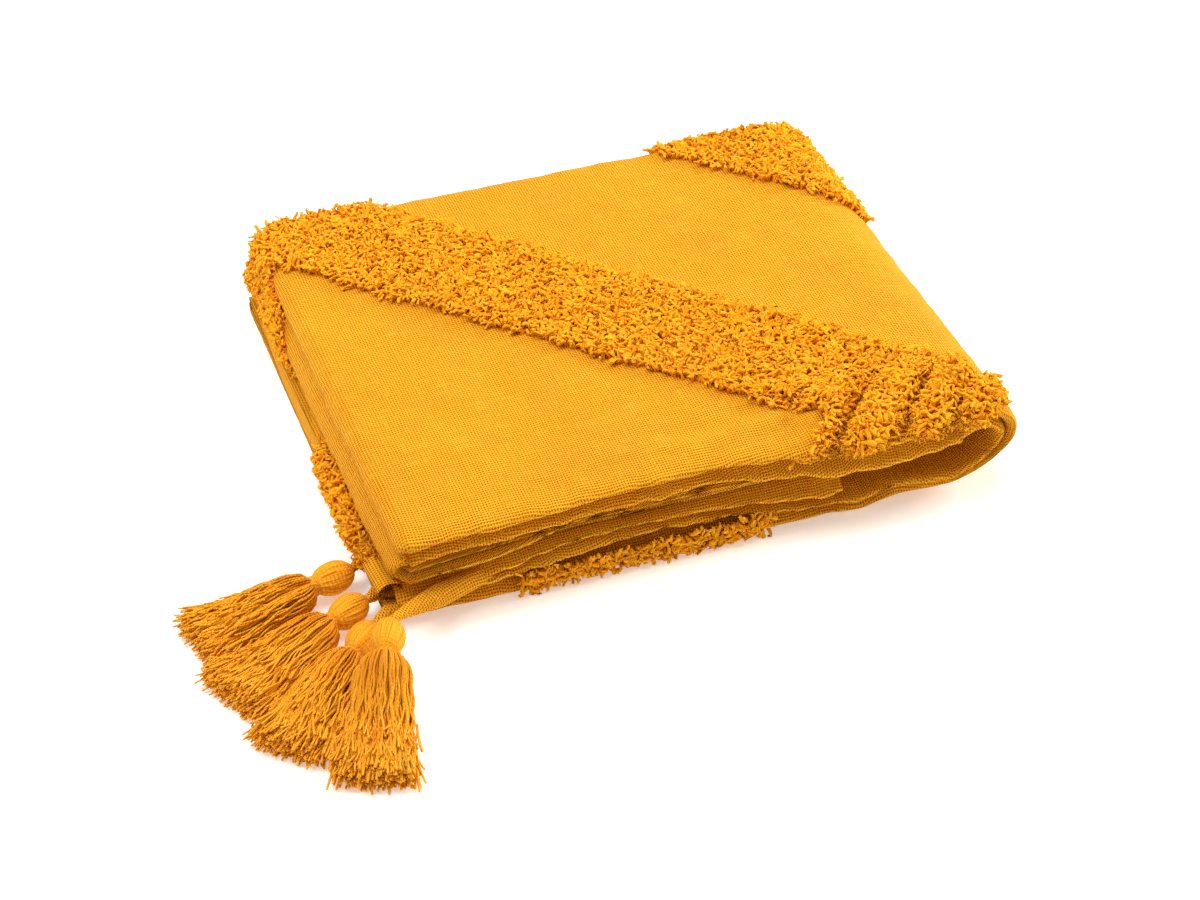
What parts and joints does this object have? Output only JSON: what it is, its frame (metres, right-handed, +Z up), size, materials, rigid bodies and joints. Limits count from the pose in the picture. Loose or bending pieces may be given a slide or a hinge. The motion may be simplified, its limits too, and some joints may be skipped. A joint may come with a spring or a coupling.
{
  "type": "folded throw blanket",
  "caption": "Cotton throw folded into a flat stack, with diagonal tufted bands across plain woven cloth and a yarn tassel on every corner.",
  "frame": {"origin": "middle of the folded stack's underside, on the surface it rests on", "axes": "+X to the right along the long side, towards the round fold; +Y to the back; +Z up"},
  "size_m": [0.5016, 0.4499, 0.0689],
  "materials": {
    "ground_cloth": "coarse plain weave cotton, matt",
    "cut_pile": "cut cotton tufts, matt",
    "tassel_yarn": "plied cotton yarn, matt"
  },
  "bodies": {
    "lower_leaf": {"cloth_fourth_layer": "ground_cloth", "cloth_bottom_layer": "ground_cloth", "cloth_inner_roll_lower": "ground_cloth", "pile_left_lower": "cut_pile", "pile_bottom_front": "cut_pile"},
    "upper_leaf": {"cloth_top_layer": "ground_cloth", "cloth_second_layer": "ground_cloth", "cloth_inner_roll_upper": "ground_cloth", "pile_diagonal_band": "cut_pile", "pile_back_corner": "cut_pile", "pile_front_drop": "cut_pile", "pile_back_drop": "cut_pile", "pile_left_upper": "cut_pile"},
    "tassel_1": {"tassel_1_hanging_cord": "tassel_yarn", "tassel_1_head": "tassel_yarn", "tassel_1_neck_binding": "tassel_yarn", "tassel_1_skirt": "tassel_yarn"},
    "tassel_2": {"tassel_2_hanging_cord": "tassel_yarn", "tassel_2_head": "tassel_yarn", "tassel_2_neck_binding": "tassel_yarn", "tassel_2_skirt": "tassel_yarn"},
    "tassel_3": {"tassel_3_hanging_cord": "tassel_yarn", "tassel_3_head": "tassel_yarn", "tassel_3_neck_binding": "tassel_yarn", "tassel_3_skirt": "tassel_yarn"},
    "tassel_4": {"tassel_4_hanging_cord": "tassel_yarn", "tassel_4_head": "tassel_yarn", "tassel_4_neck_binding": "tassel_yarn", "tassel_4_skirt": "tassel_yarn"}
  },
  "joints": [
    {"name": "leaf_fold", "type": "hinge", "parent": "lower_leaf", "child": "upper_leaf", "pos_m": [0.1925, 0, 0.0345], "axis": [0, 1, 0], "range_deg": [0, 180]},
    {"name": "tassel_1_lift", "type": "hinge", "parent": "lower_leaf", "child": "tassel_1", "pos_m": [-0.2, -0.112, 0.0105], "axis": [-0.2419, 0.9703, 0], "range_deg": [0, 60]},
    {"name": "tassel_2_lift", "type": "hinge", "parent": "lower_leaf", "child": "tassel_2", "pos_m": [-0.2002, -0.1385, 0.0105], "axis": [-0.454, 0.891, 0], "range_deg": [0, 60]},
    {"name": "tassel_3_lift", "type": "hinge", "parent": "lower_leaf", "child": "tassel_3", "pos_m": [-0.201, -0.16, 0.0105], "axis": [-0.7193, 0.6947, 0], "range_deg": [0, 50]},
    {"name": "tassel_4_lift", "type": "hinge", "parent": "lower_leaf", "child": "tassel_4", "pos_m": [-0.196, -0.1755, 0.025], "axis": [-0.9272, 0.3746, 0], "range_deg": [0, 60]}
  ]
}
